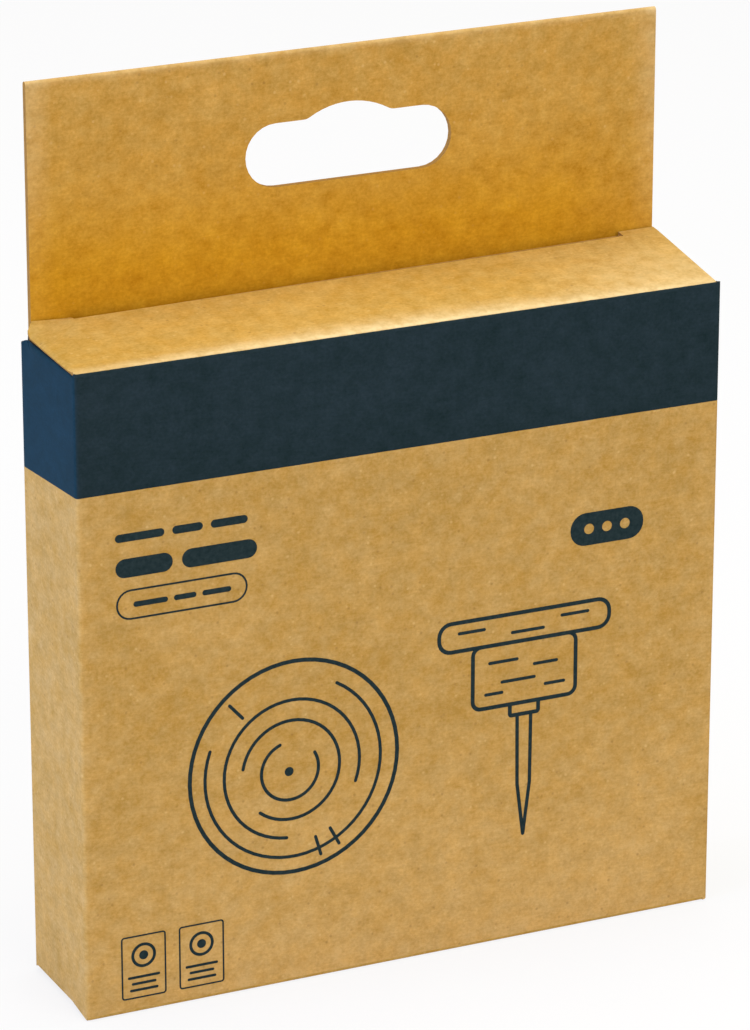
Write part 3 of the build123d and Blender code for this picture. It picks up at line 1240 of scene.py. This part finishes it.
floor_half = 12.0
floor_level = -0.00003
floor_colour = (0.78, 0.80, 0.86, 1.0)
seen_floor_colour = (0.86, 0.87, 1.0, 1.0)
floor_roughness = 0.9
floor_gloss = 0.1
floor_white_share = 0.82
white = (1.0, 1.0, 1.0, 1.0)
world_light = 0.30
carton_middle = Vector((0.0, 0.0, 0.065))
camera_place = Vector((-295.5, -630.8, 319.3)) * MM
camera_aim = Vector((-0.2, 0.0, 65.7)) * MM


def where_seen(tree, unseen, seen):
    """One value for light that is given off, and another for how the camera and reflections see it."""
    path = add_node(tree, "LightPath").outputs
    seen_directly = calculated(tree, "ADD", path["Is Camera Ray"], path["Is Glossy Ray"])
    seen_at_all = calculated(tree, "ADD", seen_directly, path["Is Transmission Ray"])
    return ranged(tree, seen_at_all, 0.0, 1.0, unseen, seen)


floor_sides = ((-1, -1), (1, -1), (1, 1), (-1, 1))
floor_corners = [(x * floor_half, y * floor_half, floor_level) for x, y in floor_sides]
floor_mesh = bpy.data.meshes.new("floor")
floor_mesh.from_pydata(floor_corners, [], [(0, 1, 2, 3)])
floor = new_object("floor", floor_mesh)
floor_finish, floor_tree, floor_shader = new_finish("pale floor")
floor_tint = mixed(floor_tree, where_seen(floor_tree, 0.0, 1.0), floor_colour, seen_floor_colour)
set_surface(floor_tree, floor_shader, floor_tint, floor_roughness, floor_gloss)
floor_glow = add_node(floor_tree, "Emission", {"Color": white, "Strength": 1.0})
floor_mix = add_node(floor_tree, "MixShader", {
    0: where_seen(floor_tree, 0.0, floor_white_share),
    1: floor_shader.outputs[0],
    2: floor_glow.outputs[0],
})
floor_tree.links.new(floor_mix.outputs[0], floor_tree.nodes["Material Output"].inputs["Surface"])
floor_mesh.materials.append(floor_finish)


def facing(place, aim):
    """The turn that points a light or a camera from its place to an aim."""
    return (aim - place).to_track_quat("-Z", "Y").to_euler()


def soft_light(name, place, size, power, tint):
    """A square soft light that faces the middle of the carton."""
    light = bpy.data.lights.new(name, "AREA")
    light.shape = "SQUARE"
    light.size = size
    light.energy = power
    light.color = tint
    lamp = new_object(name, light)
    lamp.location = place
    lamp.rotation_euler = facing(Vector(place), carton_middle)


soft_light("top light", place=(0.10, 0.05, 1.30), size=0.9, power=12.1, tint=(1.0, 0.93, 0.62))
soft_light("front light", place=(0.35, -1.35, 0.75), size=1.0, power=9.6, tint=(1.0, 0.94, 0.80))
soft_light("left light", place=(-1.45, -0.15, 0.30), size=1.0, power=24.8, tint=(0.50, 0.625, 1.0))

world = bpy.data.worlds.new("studio")
world.use_nodes = True
background = world.node_tree.nodes["Background"]
background.inputs["Color"].default_value = white
world.node_tree.links.new(where_seen(world.node_tree, world_light, 1.0), background.inputs["Strength"])
bpy.context.scene.world = world
bpy.context.scene.view_settings.view_transform = "Standard"

camera_data = bpy.data.cameras.new("camera")
camera_data.lens = 181.0
camera_data.sensor_width = 36.0
camera_data.clip_end = 50.0
camera = new_object("camera", camera_data)
camera.location = camera_place
camera.rotation_euler = facing(camera_place, camera_aim)
bpy.context.scene.camera = camera
